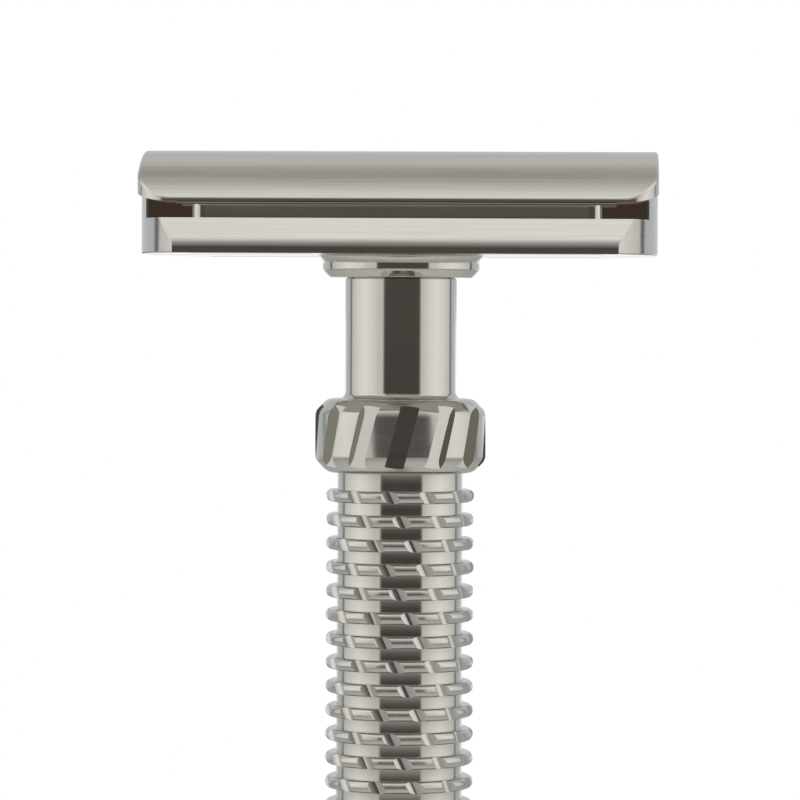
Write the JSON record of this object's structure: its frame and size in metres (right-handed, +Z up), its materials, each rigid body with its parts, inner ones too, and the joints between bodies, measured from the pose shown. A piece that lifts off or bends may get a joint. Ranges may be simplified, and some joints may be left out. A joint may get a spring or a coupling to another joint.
{
  "type": "safety razor",
  "caption": "Double-edge safety razor with a curved cap clamping a bent blade over a bevelled guard plate, on a ringed turned handle.",
  "frame": {"origin": "centre of the foot's flat face, under the handle's axis", "axes": "+Z up the handle to the head, +X along the blade, -Y towards the front guard"},
  "size_m": [0.0446, 0.025, 0.096],
  "materials": {
    "satin_steel": "satin, brushed lengthwise",
    "plate_steel": "fine machined",
    "turned_steel": "bright turned",
    "thread_steel": "machined",
    "blade_steel": "polished"
  },
  "bodies": {
    "handle": {"handle_neck": "turned_steel", "handle_grip": "turned_steel", "handle_knob": "turned_steel"},
    "plate": {"base_plate": "plate_steel"},
    "blade": {"razor_blade": "blade_steel"},
    "cap": {"top_cap": "satin_steel", "cap_stud": "thread_steel", "cap_pin_left": "thread_steel", "cap_pin_right": "thread_steel"}
  },
  "joints": [
    {"name": "head_turn", "type": "hinge", "parent": "handle", "child": "plate", "pos_m": [0, 0, 0.085], "axis": [0, 0, 1], "range_deg": [0, 3240]},
    {"name": "blade_lift", "type": "slide", "parent": "plate", "child": "blade", "axis": [0, 0, 1], "range_m": [0, 0.00361]},
    {"name": "cap_lift", "type": "slide", "parent": "plate", "child": "cap", "axis": [0, 0, 1], "range_m": [0, 0.00721]}
  ],
  "couplings": [
    {"joint": "cap_lift", "follows": "head_turn", "m_per_rad": 0.00012732},
    {"joint": "blade_lift", "follows": "head_turn", "m_per_rad": 0.000063662}
  ]
}
